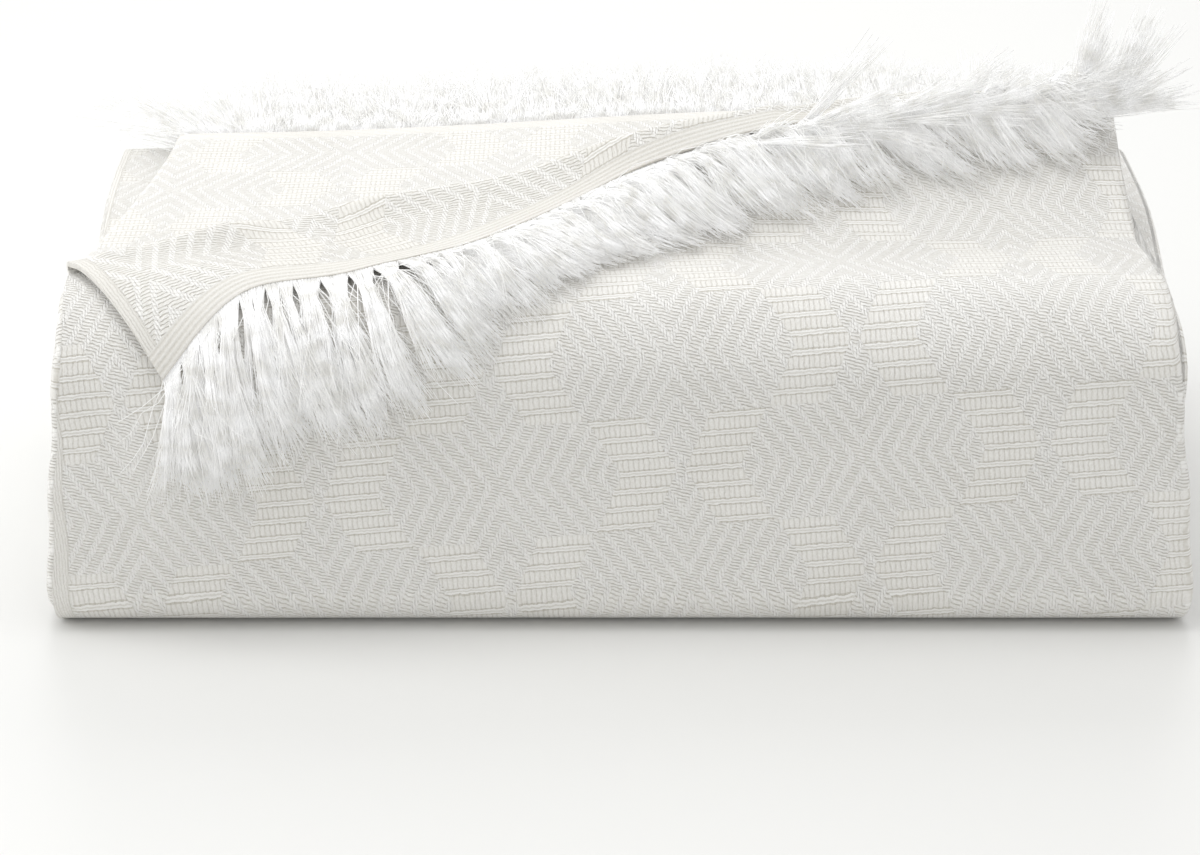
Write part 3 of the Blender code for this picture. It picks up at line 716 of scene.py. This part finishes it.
# The ends of plies two, three and four, at the rear: height from the strip's middle in plies, strands
# a lock, then how far the strands lift: all, by lock, and the most by strand.
REAR_TIERS = (
    (0.5, 84, 0.0035, 0.0020, 0.0045),
    (-0.5, 36, 0.0, 0.0008, 0.001),
    (-1.5, 36, -0.0002, 0.0005, 0.001),
)
REAR_SHORTER = 0.012  # how much shorter the rear fringe is drawn, in metres
REAR_LOOSE_SHARE, REAR_SWING, REAR_SWING_LOOSE = 0.10, 0.12, 0.4


def tubes(name, paths, radii, yarn):
    """One mesh of three-sided strands. paths is strands x points x 3, radii strands x points."""
    count, steps = paths.shape[:2]
    rng = np.random.default_rng(TUBE_SEED)
    way = np.gradient(paths, axis=1)
    way /= np.linalg.norm(way, axis=-1, keepdims=True) + 1e-12
    ref = rng.normal(size=(count, 1, 3))
    side = np.cross(way, ref)
    side /= np.linalg.norm(side, axis=-1, keepdims=True) + 1e-12
    up = np.cross(way, side)
    rings = []
    for k in range(STRAND_SIDES):
        a = 2 * math.pi * k / STRAND_SIDES
        rings.append(paths + (side * math.cos(a) + up * math.sin(a)) * radii[..., None])
    points = np.stack(rings, 2).reshape(-1, 3)
    base = (np.arange(count) * steps * STRAND_SIDES)[:, None]
    ring = (np.arange(steps - 1) * STRAND_SIDES)[None, :]
    start = (base + ring).reshape(-1)
    quads = []
    for k in range(STRAND_SIDES):
        a, b = start + k, start + (k + 1) % STRAND_SIDES
        quads.append(np.stack([a, b, b + STRAND_SIDES, a + STRAND_SIDES], -1))
    quads = np.concatenate(quads)
    foot, tip = base[:, 0], base[:, 0] + (steps - 1) * STRAND_SIDES
    caps = np.concatenate([np.stack([foot + 2, foot + 1, foot], -1), np.stack([tip, tip + 1, tip + 2], -1)])
    mesh = bpy.data.meshes.new(name)
    mesh.from_pydata(points.tolist(), [], quads.tolist() + caps.tolist())
    mesh.shade_smooth()
    mesh.materials.append(yarn)
    obj = bpy.data.objects.new(name, mesh)
    bpy.context.collection.objects.link(obj)
    return obj


def falling(name, f):
    """A column of the fall's table, at places f along the edge."""
    return np.interp(f, [row[0] for row in FALL], [row[FALL_COLUMNS.index(name)] for row in FALL])


def edge_line():
    """The turned-back edge as fine stations: the way along it, and t."""
    t = np.linspace(0, 1, 401)
    x, s = along("edge_x", t), along("edge_s", t)
    p = on_ply_one(x, s, rise(x, s) + FLAP_GAP)
    way = np.concatenate([[0], np.cumsum(np.linalg.norm(np.diff(p, axis=0), axis=1))])
    return way, t


def strand_radii(settings, rng, n, u):
    """Radii of n strands at the shares u of their length."""
    return settings.strand_diameter / 2 * rng.uniform(*THICKNESS_SPREAD, n)[:, None] * (1 - TIP_THINNER * u)


def hanging_strands(first, last, settings, seed):
    """Paths and radii of the strands of the locks first to last on the turned-back edge."""
    rng = np.random.default_rng(seed)
    locks, yarns = settings.front_locks, settings.yarns_per_lock
    way, stations = edge_line()
    u = np.linspace(0, 1, settings.strand_points)
    k = np.repeat(np.arange(first, last), settings.strands_per_lock)
    n = len(k)
    yarn = k * yarns + np.arange(n) % yarns

    def by_lock(turn, scale):
        return scale * np.array([wobble(q, turn) for q in range(locks)])[k]

    def by_yarn(scale):
        return rng.normal(0, scale, locks * yarns)[yarn]

    # Roots along the edge, and where the yarns of a lock, or of a pair of locks, gather.
    f_lock = (k + 0.5) / locks
    f = np.clip(f_lock + rng.uniform(-LOCK_HALF, LOCK_HALF, n) / locks, *ROOT_RANGE)
    t = np.interp(f * way[-1], way, stations)
    x0, s0 = along("edge_x", t), along("edge_s", t)
    paired = PAIRED * (1 - smooth((f_lock - 0.35) / 0.3))
    f_pair = (k // 2 * 2 + 1) / locks
    t_lock = np.interp((f_lock + (f_pair - f_lock) * paired) * way[-1], way, stations)
    x1, s1 = along("edge_x", t_lock), along("edge_s", t_lock)
    gather = GATHERED * smooth(u / 0.25)

    # Lean and length.
    group = np.array([wobble(q // 3, 5) for q in range(locks)])[k]
    loose = rng.random(n) < LOOSE_SHARE
    lean = np.radians(falling("lean", f_lock)) + by_lock(1, LEAN_BY_LOCK) + LEAN_BY_GROUP * group
    lean = lean + by_yarn(LEAN_BY_YARN) + rng.normal(0, LEAN_BY_STRAND, n)
    lean = lean + loose * rng.normal(0, LEAN_LOOSE, n)
    long = settings.length * falling("length", f_lock) * (1 + by_lock(2, LENGTH_BY_LOCK))
    shortest = 0.84 - 0.16 * smooth(f_lock * 2 - 0.6)
    long = long * (1 + by_yarn(LENGTH_BY_YARN)) * rng.uniform(shortest, LONGEST, n)

    # Spread, sway and kinks across the strand.
    beside = by_yarn(YARN_ASIDE)[:, None] * smooth(u * 2) * (0.7 + 0.8 * u)
    beside = beside + rng.normal(0, 1, n)[:, None] * (0.0003 * smooth(u * 3) + 0.0019 * u**3)
    wide = by_yarn(YARN_SWAY)[:, None]
    turns = rng.uniform(0.5, 1.3, locks * yarns)[yarn][:, None]
    sway = wide * np.sin(2 * np.pi * turns * u + by_yarn(2.0)[:, None]) * smooth(u * 2.5)
    frizz = np.where(rng.random(n) < FRIZZY_SHARE, FRIZZY, CALM)[:, None] * smooth(u * 1.6 - 0.2)
    kinks = rng.normal(0, KINK, (3, n, len(u))) * frizz
    aside = beside + sway + kinks[0]
    angle = lean[:, None] * (0.6 + 0.4 * u)
    x = x0[:, None] + (x1 - x0)[:, None] * gather + np.sin(angle) * long[:, None] * u
    x = x + np.cos(lean)[:, None] * aside
    s = s0[:, None] + (s1 - s0)[:, None] * gather - np.cos(lean)[:, None] * long[:, None] * u
    s = s + np.sin(lean)[:, None] * aside + kinks[1]

    # Height over ply one: each yarn has its own layer, and lifted ones arch.
    g0 = (rise(x0, s0) + FLAP_GAP + rng.uniform(-0.0007, 0.0007, n))[:, None]
    layer = np.clip(rng.random(locks * yarns)[yarn][:, None] + rng.normal(0, 0.10, (n, 1)), 0, 1)
    lift = falling("lift", f_lock)[:, None]
    high = rise(x, s) + ABOVE_PLY + layer * (LAYERS_DEEP + 0.4 * lift) * np.sin(np.pi * u * 0.8) ** 0.7
    high = high + lift * (0.4 + 0.6 * layer) * np.sin(np.pi * np.minimum(u * 1.3, 1)) ** 0.8
    high = high + loose[:, None] * rng.uniform(0, LOOSE_HIGH, n)[:, None] * u
    g = np.maximum(g0 + (high - g0) * smooth(u * 2.2) + kinks[2], rise(x, s) + LEAST_ABOVE_PLY)
    lying = settle(on_ply_one(x, s, g))

    # The tuft that stands at the right end, and the yarns that rise along the ridge before it.
    root = settle(on_ply_one(x0, s0, g0[:, 0]))[:, None, :]
    stands = smooth((f - STAND_FROM) / (1 - STAND_FROM))[:, None, None]
    fan = SPIKES[(k + locks) % len(SPIKES)] + rng.normal(0, 0.13, locks * yarns)[yarn]
    fan = fan + rng.normal(0, 0.05, n)
    tall = 1.20 + 0.22 * np.cos(fan * 3 - 0.6)
    turn = np.stack([np.sin(fan), rng.normal(-0.14, 0.08, n), np.cos(fan)], -1) * tall[:, None]
    chance = RISEN_SHARE * smooth((f_lock - RISEN_FROM) / 0.3)
    risen = (rng.random(locks * yarns)[yarn] < chance) * (f_lock < STAND_FROM)
    ridge_way = ALONG_RIDGE + rng.normal(0, 1, (locks * yarns, 3))[yarn] * RIDGE_SPREAD
    ridge_way = ridge_way + rng.normal(0, 0.06, (n, 3))
    turn = np.where(risen[:, None], ridge_way, turn)
    stands = np.maximum(stands, RISEN_REACH * risen[:, None, None])
    outward = np.array((0.0, -STAND_OUT, 0.0)) * smooth(u * 4)[:, None]
    upright = root + turn[:, None, :] * (long[:, None] * u)[..., None] + outward
    upright = upright + (sway * 1.5)[..., None] * np.array((0.6, 0.2, 0.5))
    paths = lying + (upright - lying) * stands
    paths[..., 2] = np.minimum(paths[..., 2], TALLEST)
    return paths, strand_radii(settings, rng, n, u)


def lying_strands(settings, seed):
    """Paths and radii of the strands at the ends of plies two, three and four, on the stack's rear."""
    rng = np.random.default_rng(seed)
    u = np.linspace(0, 1, settings.strand_points)
    made, sizes = [], []
    for tier, (h, strands, up, up_by_lock, up_by_strand) in enumerate(REAR_TIERS):
        locks = settings.inner_locks if tier else settings.rear_locks
        k = np.repeat(np.arange(locks), strands)
        n = len(k)
        f = np.clip((k + 0.5 + rng.uniform(-LOCK_HALF, LOCK_HALF, n)) / locks, *ROOT_RANGE)
        f_lock = (k + 0.5) / locks
        half, shift = half_width("top", END_TOP, 0.0)
        x0, x1 = (2 * f - 1) * half + shift, (2 * f_lock - 1) * half + shift
        z0 = Z_OF[7] + h * PLY + LOWER_SHARE * rise(x0, END_TOP - TOP_START + 0 * x0)
        by_lock = [np.array([wobble(c, q + tier) for c in range(locks)])[k] for q in (11, 14, 17)]
        long = (settings.length - REAR_SHORTER) * (1 + 0.10 * by_lock[0]) * rng.uniform(0.78, 1.08, n)
        loose = rng.random(n) < REAR_LOOSE_SHARE
        # The strands fan out at both ends of the edge, and more so at the left.
        swing = 0.10 * by_lock[1] + 0.32 * (x0 / 0.22) ** 5 - 0.80 * (x0 < 0) * (x0 / 0.215) ** 10
        swing = swing + rng.normal(0, REAR_SWING, n) + loose * rng.normal(0, REAR_SWING_LOOSE, n)
        lift = up + up_by_lock * by_lock[2] + rng.uniform(-0.001, up_by_strand, n)
        gather = 0.7 * smooth(u / 0.35) - 0.2 * smooth((u - 0.5) / 0.5)
        aside = rng.normal(0, 0.0022, n)[:, None] * u**1.5
        wide, turns, phase = rng.uniform(0.0003, 0.0012, n), rng.uniform(0.6, 2.0, n), rng.uniform(0, 6.3, n)
        wave = np.sin(2 * np.pi * turns[:, None] * u + phase[:, None])
        aside = aside + wide[:, None] * wave * smooth(u * 2.5)
        x = x0[:, None] + (x1 - x0)[:, None] * gather + np.sin(swing)[:, None] * long[:, None] * u + aside
        y = END_TOP + PARTED + np.cos(swing)[:, None] * long[:, None] * u
        z = z0[:, None] + rng.uniform(-0.0006, 0.0006, n)[:, None] + lift[:, None] * 1.4 * u
        z = z + 0.004 * rng.random(n)[:, None] * np.sin(np.pi * u * 0.8) * (tier == 0)
        made.append(settle(np.stack([x, y, z], -1)))
        sizes.append(strand_radii(settings, rng, n, u))
    return np.concatenate(made), np.concatenate(sizes)


# Settings


class BedspreadCloth(bpy.types.PropertyGroup):
    thickness: FloatProperty(
        name="Thickness", description="Thickness of the woven cloth", default=0.0022, unit="LENGTH"
    )
    float_height: FloatProperty(
        name="Float height", description="Relief of the woven floats", default=0.0006, unit="LENGTH"
    )
    repeat_across: FloatProperty(
        name="Repeat across", description="Width of one repeat of the figure", default=0.161, unit="LENGTH"
    )
    repeat_along: FloatProperty(
        name="Repeat along", description="Length of one repeat of the figure", default=0.108, unit="LENGTH"
    )
    warp_pitch: FloatProperty(
        name="Warp pitch", description="From one warp thread to the next, as drawn",
        default=0.0013, unit="LENGTH",
    )
    end_hem: FloatProperty(
        name="End band", description="Plain band along the fringed ends", default=0.010, unit="LENGTH"
    )
    side_hem: FloatProperty(
        name="Side hem", description="Plain hem along the sides", default=0.008, unit="LENGTH"
    )
    # Painted shade on the turned-back end's reverse, whose face tilts forward.
    reverse_painted_shade: FloatProperty(
        name="Reverse duller", description="How much duller the reverse looks, as a share of the relief",
        default=0.13,
    )
    float_colour: StringProperty(
        name="Float colour", description="sRGB hex of the raised floats", default="#F6F5F2"
    )
    # The ground's darker colour is painted shade between the floats.
    shaded_ground_colour: StringProperty(
        name="Ground colour", description="sRGB hex of the sunken ground", default="#CDC9BF"
    )


class BedspreadFringe(bpy.types.PropertyGroup):
    length: FloatProperty(
        name="Length", description="Length of the fringe beyond the cloth", default=0.066, unit="LENGTH"
    )
    strand_diameter: FloatProperty(
        name="Strand", description="Thickness of a strand, as drawn", default=0.00052, unit="LENGTH"
    )
    front_locks: IntProperty(name="Front locks", description="Locks on the turned-back edge", default=78)
    rear_locks: IntProperty(name="Rear locks", description="Locks at the end of the second ply", default=42)
    inner_locks: IntProperty(
        name="Inner locks", description="Locks at the ends of plies three and four", default=22
    )
    strands_per_lock: IntProperty(name="Strands", description="Strands in each front lock", default=150)
    yarns_per_lock: IntProperty(name="Yarns", description="Yarns that each front lock parts into", default=5)
    strand_points: IntProperty(name="Points", description="Points along a strand", default=7)
    yarn_colour: StringProperty(
        name="Yarn colour", description="sRGB hex of the brushed yarn", default="#FDFDFD"
    )
    # The darker patches are partly yarns that differ in whiteness and partly painted shade among the strands.
    shade_colour: StringProperty(
        name="Yarn shade", description="sRGB hex of its darker patches", default="#E4E3DF"
    )


class BedspreadStage(bpy.types.PropertyGroup):
    floor_colour: StringProperty(name="Floor colour", description="sRGB hex of the floor", default="#E4E4E2")
    sky: FloatProperty(name="Sky", description="Strength of the even light", default=0.80)
    key: FloatProperty(name="Key", description="Power of the light above", default=9.0, unit="POWER")
    back: FloatProperty(name="Back", description="Power of the light behind", default=9.0, unit="POWER")
    side: FloatProperty(name="Side", description="Power of the light at the left", default=10.0, unit="POWER")
    distance: FloatProperty(
        name="Camera distance", description="From the camera to its aim", default=1.7, unit="LENGTH"
    )
    elevation: FloatProperty(
        name="Camera elevation", description="Above the horizon", default=math.radians(22), subtype="ANGLE"
    )
    aim: FloatVectorProperty(
        name="Camera aim", description="What the camera looks at",
        size=3, default=(-0.0095, -0.1536, 0.0990), subtype="XYZ",
    )
    pixel: FloatProperty(
        name="Pixel", description="Size at the aim of one of 1200 pixels across",
        default=0.00044, unit="LENGTH",
    )


# Operators

FLOOR_HALF, FLOOR_BELOW = 6, 0.0004  # metres; the floor is a hair under the cloth
BUNDLE_MIDDLE = (0, 0, 0.1)
SENSOR_MM, PHOTO_WIDTH = 36.0, 1200


class BEDSPREAD_OT_cloth(bpy.types.Operator):
    """Weave the cloth over its folded solid"""

    bl_idname = "bedspread.cloth"
    bl_label = "Folded cloth"

    def execute(self, context):
        settings = context.scene.bedspread_cloth
        obj = woven_sheet("bedspread_cloth", settings.thickness)
        obj.data.materials.clear()
        obj.data.materials.append(jacquard_cotton(settings))
        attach(obj, "root")
        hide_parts("cloth")
        return {"FINISHED"}


class BEDSPREAD_OT_front_fringe(bpy.types.Operator):
    """Comb out the fringe that hangs from the turned-back edge"""

    bl_idname = "bedspread.front_fringe"
    bl_label = "Front fringe"

    def execute(self, context):
        settings = context.scene.bedspread_fringe
        yarn = glowing_brushed_yarn(settings)
        cuts = [round(settings.front_locks * k / FRONT_PIECES) for k in range(FRONT_PIECES + 1)]
        for part, (first, last) in enumerate(zip(cuts, cuts[1:])):
            paths, radii = hanging_strands(first, last, settings, FRONT_SEED + part)
            obj = tubes(f"front_fringe_{part + 1}", paths, radii, yarn)
            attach(obj, "root")
            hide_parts("fringe_front")
        return {"FINISHED"}


class BEDSPREAD_OT_rear_fringe(bpy.types.Operator):
    """Lay the fringe of the other plies over the rear of the stack"""

    bl_idname = "bedspread.rear_fringe"
    bl_label = "Rear fringe"

    def execute(self, context):
        settings = context.scene.bedspread_fringe
        paths, radii = lying_strands(settings, REAR_SEED)
        obj = tubes("rear_fringe", paths, radii, bpy.data.materials["brushed cotton yarn"])
        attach(obj, "root")
        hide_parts("fringe_rear")
        return {"FINISHED"}


class BEDSPREAD_OT_stage(bpy.types.Operator):
    """Set the pale floor, the soft studio light and the camera"""

    bl_idname = "bedspread.stage"
    bl_label = "Floor, light and camera"

    def execute(self, context):
        settings = context.scene.bedspread_stage
        mesh = bpy.data.meshes.new("floor")
        w = FLOOR_HALF
        mesh.from_pydata([(-w, -w, 0), (w, -w, 0), (w, w, 0), (-w, w, 0)], [], [(0, 1, 2, 3)])
        floor = bpy.data.objects.new("floor", mesh)
        context.collection.objects.link(floor)
        floor.location.z = -FLOOR_BELOW
        matt = {"Roughness": 0.45, "Specular IOR Level": 0.3, "Base Color": linear(settings.floor_colour)}
        mesh.materials.append(material("matt white acrylic sheet", matt)[0])
        context.scene.view_settings.view_transform = "Standard"
        world = context.scene.world or bpy.data.worlds.new("studio")
        context.scene.world = world
        world.use_nodes = True
        sky = world.node_tree.nodes["Background"]
        sky.inputs["Color"].default_value = (1.0, 1.0, 1.0, 1.0)
        sky.inputs["Strength"].default_value = settings.sky
        for name, place, size, power in (
            ("key light", (-0.2, -0.2, 1.9), 0.9, settings.key),
            ("back light", (0.0, 1.4, 1.3), 1.4, settings.back),
            ("side light", (-1.7, -0.2, 1.1), 1.2, settings.side),
        ):
            data = bpy.data.lights.new(name, "AREA")
            data.energy, data.size = power, size
            lamp = bpy.data.objects.new(name, data)
            context.collection.objects.link(lamp)
            lamp.location = place
            towards = Vector(BUNDLE_MIDDLE) - Vector(place)
            lamp.rotation_euler = towards.to_track_quat("-Z", "Y").to_euler()
        data = bpy.data.cameras.new("camera")
        data.sensor_width = SENSOR_MM
        data.lens = SENSOR_MM * settings.distance / settings.pixel / PHOTO_WIDTH
        camera = bpy.data.objects.new("camera", data)
        context.collection.objects.link(camera)
        back = Vector((0.0, -math.cos(settings.elevation), math.sin(settings.elevation)))
        camera.location = Vector(settings.aim) + back * settings.distance
        camera.rotation_euler = (-back).to_track_quat("-Z", "Y").to_euler()
        data.clip_start, data.clip_end = 0.05, 50.0
        context.scene.camera = camera
        return {"FINISHED"}


class BEDSPREAD_PT_panel(bpy.types.Panel):
    """Pieces of the bedspread"""

    bl_label = "Bedspread"
    bl_idname = "BEDSPREAD_PT_panel"
    bl_space_type = "VIEW_3D"
    bl_region_type = "UI"
    bl_category = "Bedspread"

    def draw(self, context):
        for group, operators in (
            (context.scene.bedspread_cloth, ("bedspread.cloth",)),
            (context.scene.bedspread_fringe, ("bedspread.front_fringe", "bedspread.rear_fringe")),
            (context.scene.bedspread_stage, ("bedspread.stage",)),
        ):
            box = self.layout.box()
            for name in group.__annotations__:
                box.prop(group, name)
            for operator in operators:
                box.operator(operator)


CLASSES = (
    BedspreadCloth,
    BedspreadFringe,
    BedspreadStage,
    BEDSPREAD_OT_cloth,
    BEDSPREAD_OT_front_fringe,
    BEDSPREAD_OT_rear_fringe,
    BEDSPREAD_OT_stage,
    BEDSPREAD_PT_panel,
)


def register():
    for cls in CLASSES:
        bpy.utils.register_class(cls)
    bpy.types.Scene.bedspread_cloth = PointerProperty(type=BedspreadCloth)
    bpy.types.Scene.bedspread_fringe = PointerProperty(type=BedspreadFringe)
    bpy.types.Scene.bedspread_stage = PointerProperty(type=BedspreadStage)


def unregister():
    del bpy.types.Scene.bedspread_cloth
    del bpy.types.Scene.bedspread_fringe
    del bpy.types.Scene.bedspread_stage
    for cls in reversed(CLASSES):
        bpy.utils.unregister_class(cls)


def main():
    register()
    bpy.ops.bedspread.stage()
    bpy.ops.bedspread.cloth()
    bpy.ops.bedspread.front_fringe()
    bpy.ops.bedspread.rear_fringe()


if __name__ == "__main__":
    main()
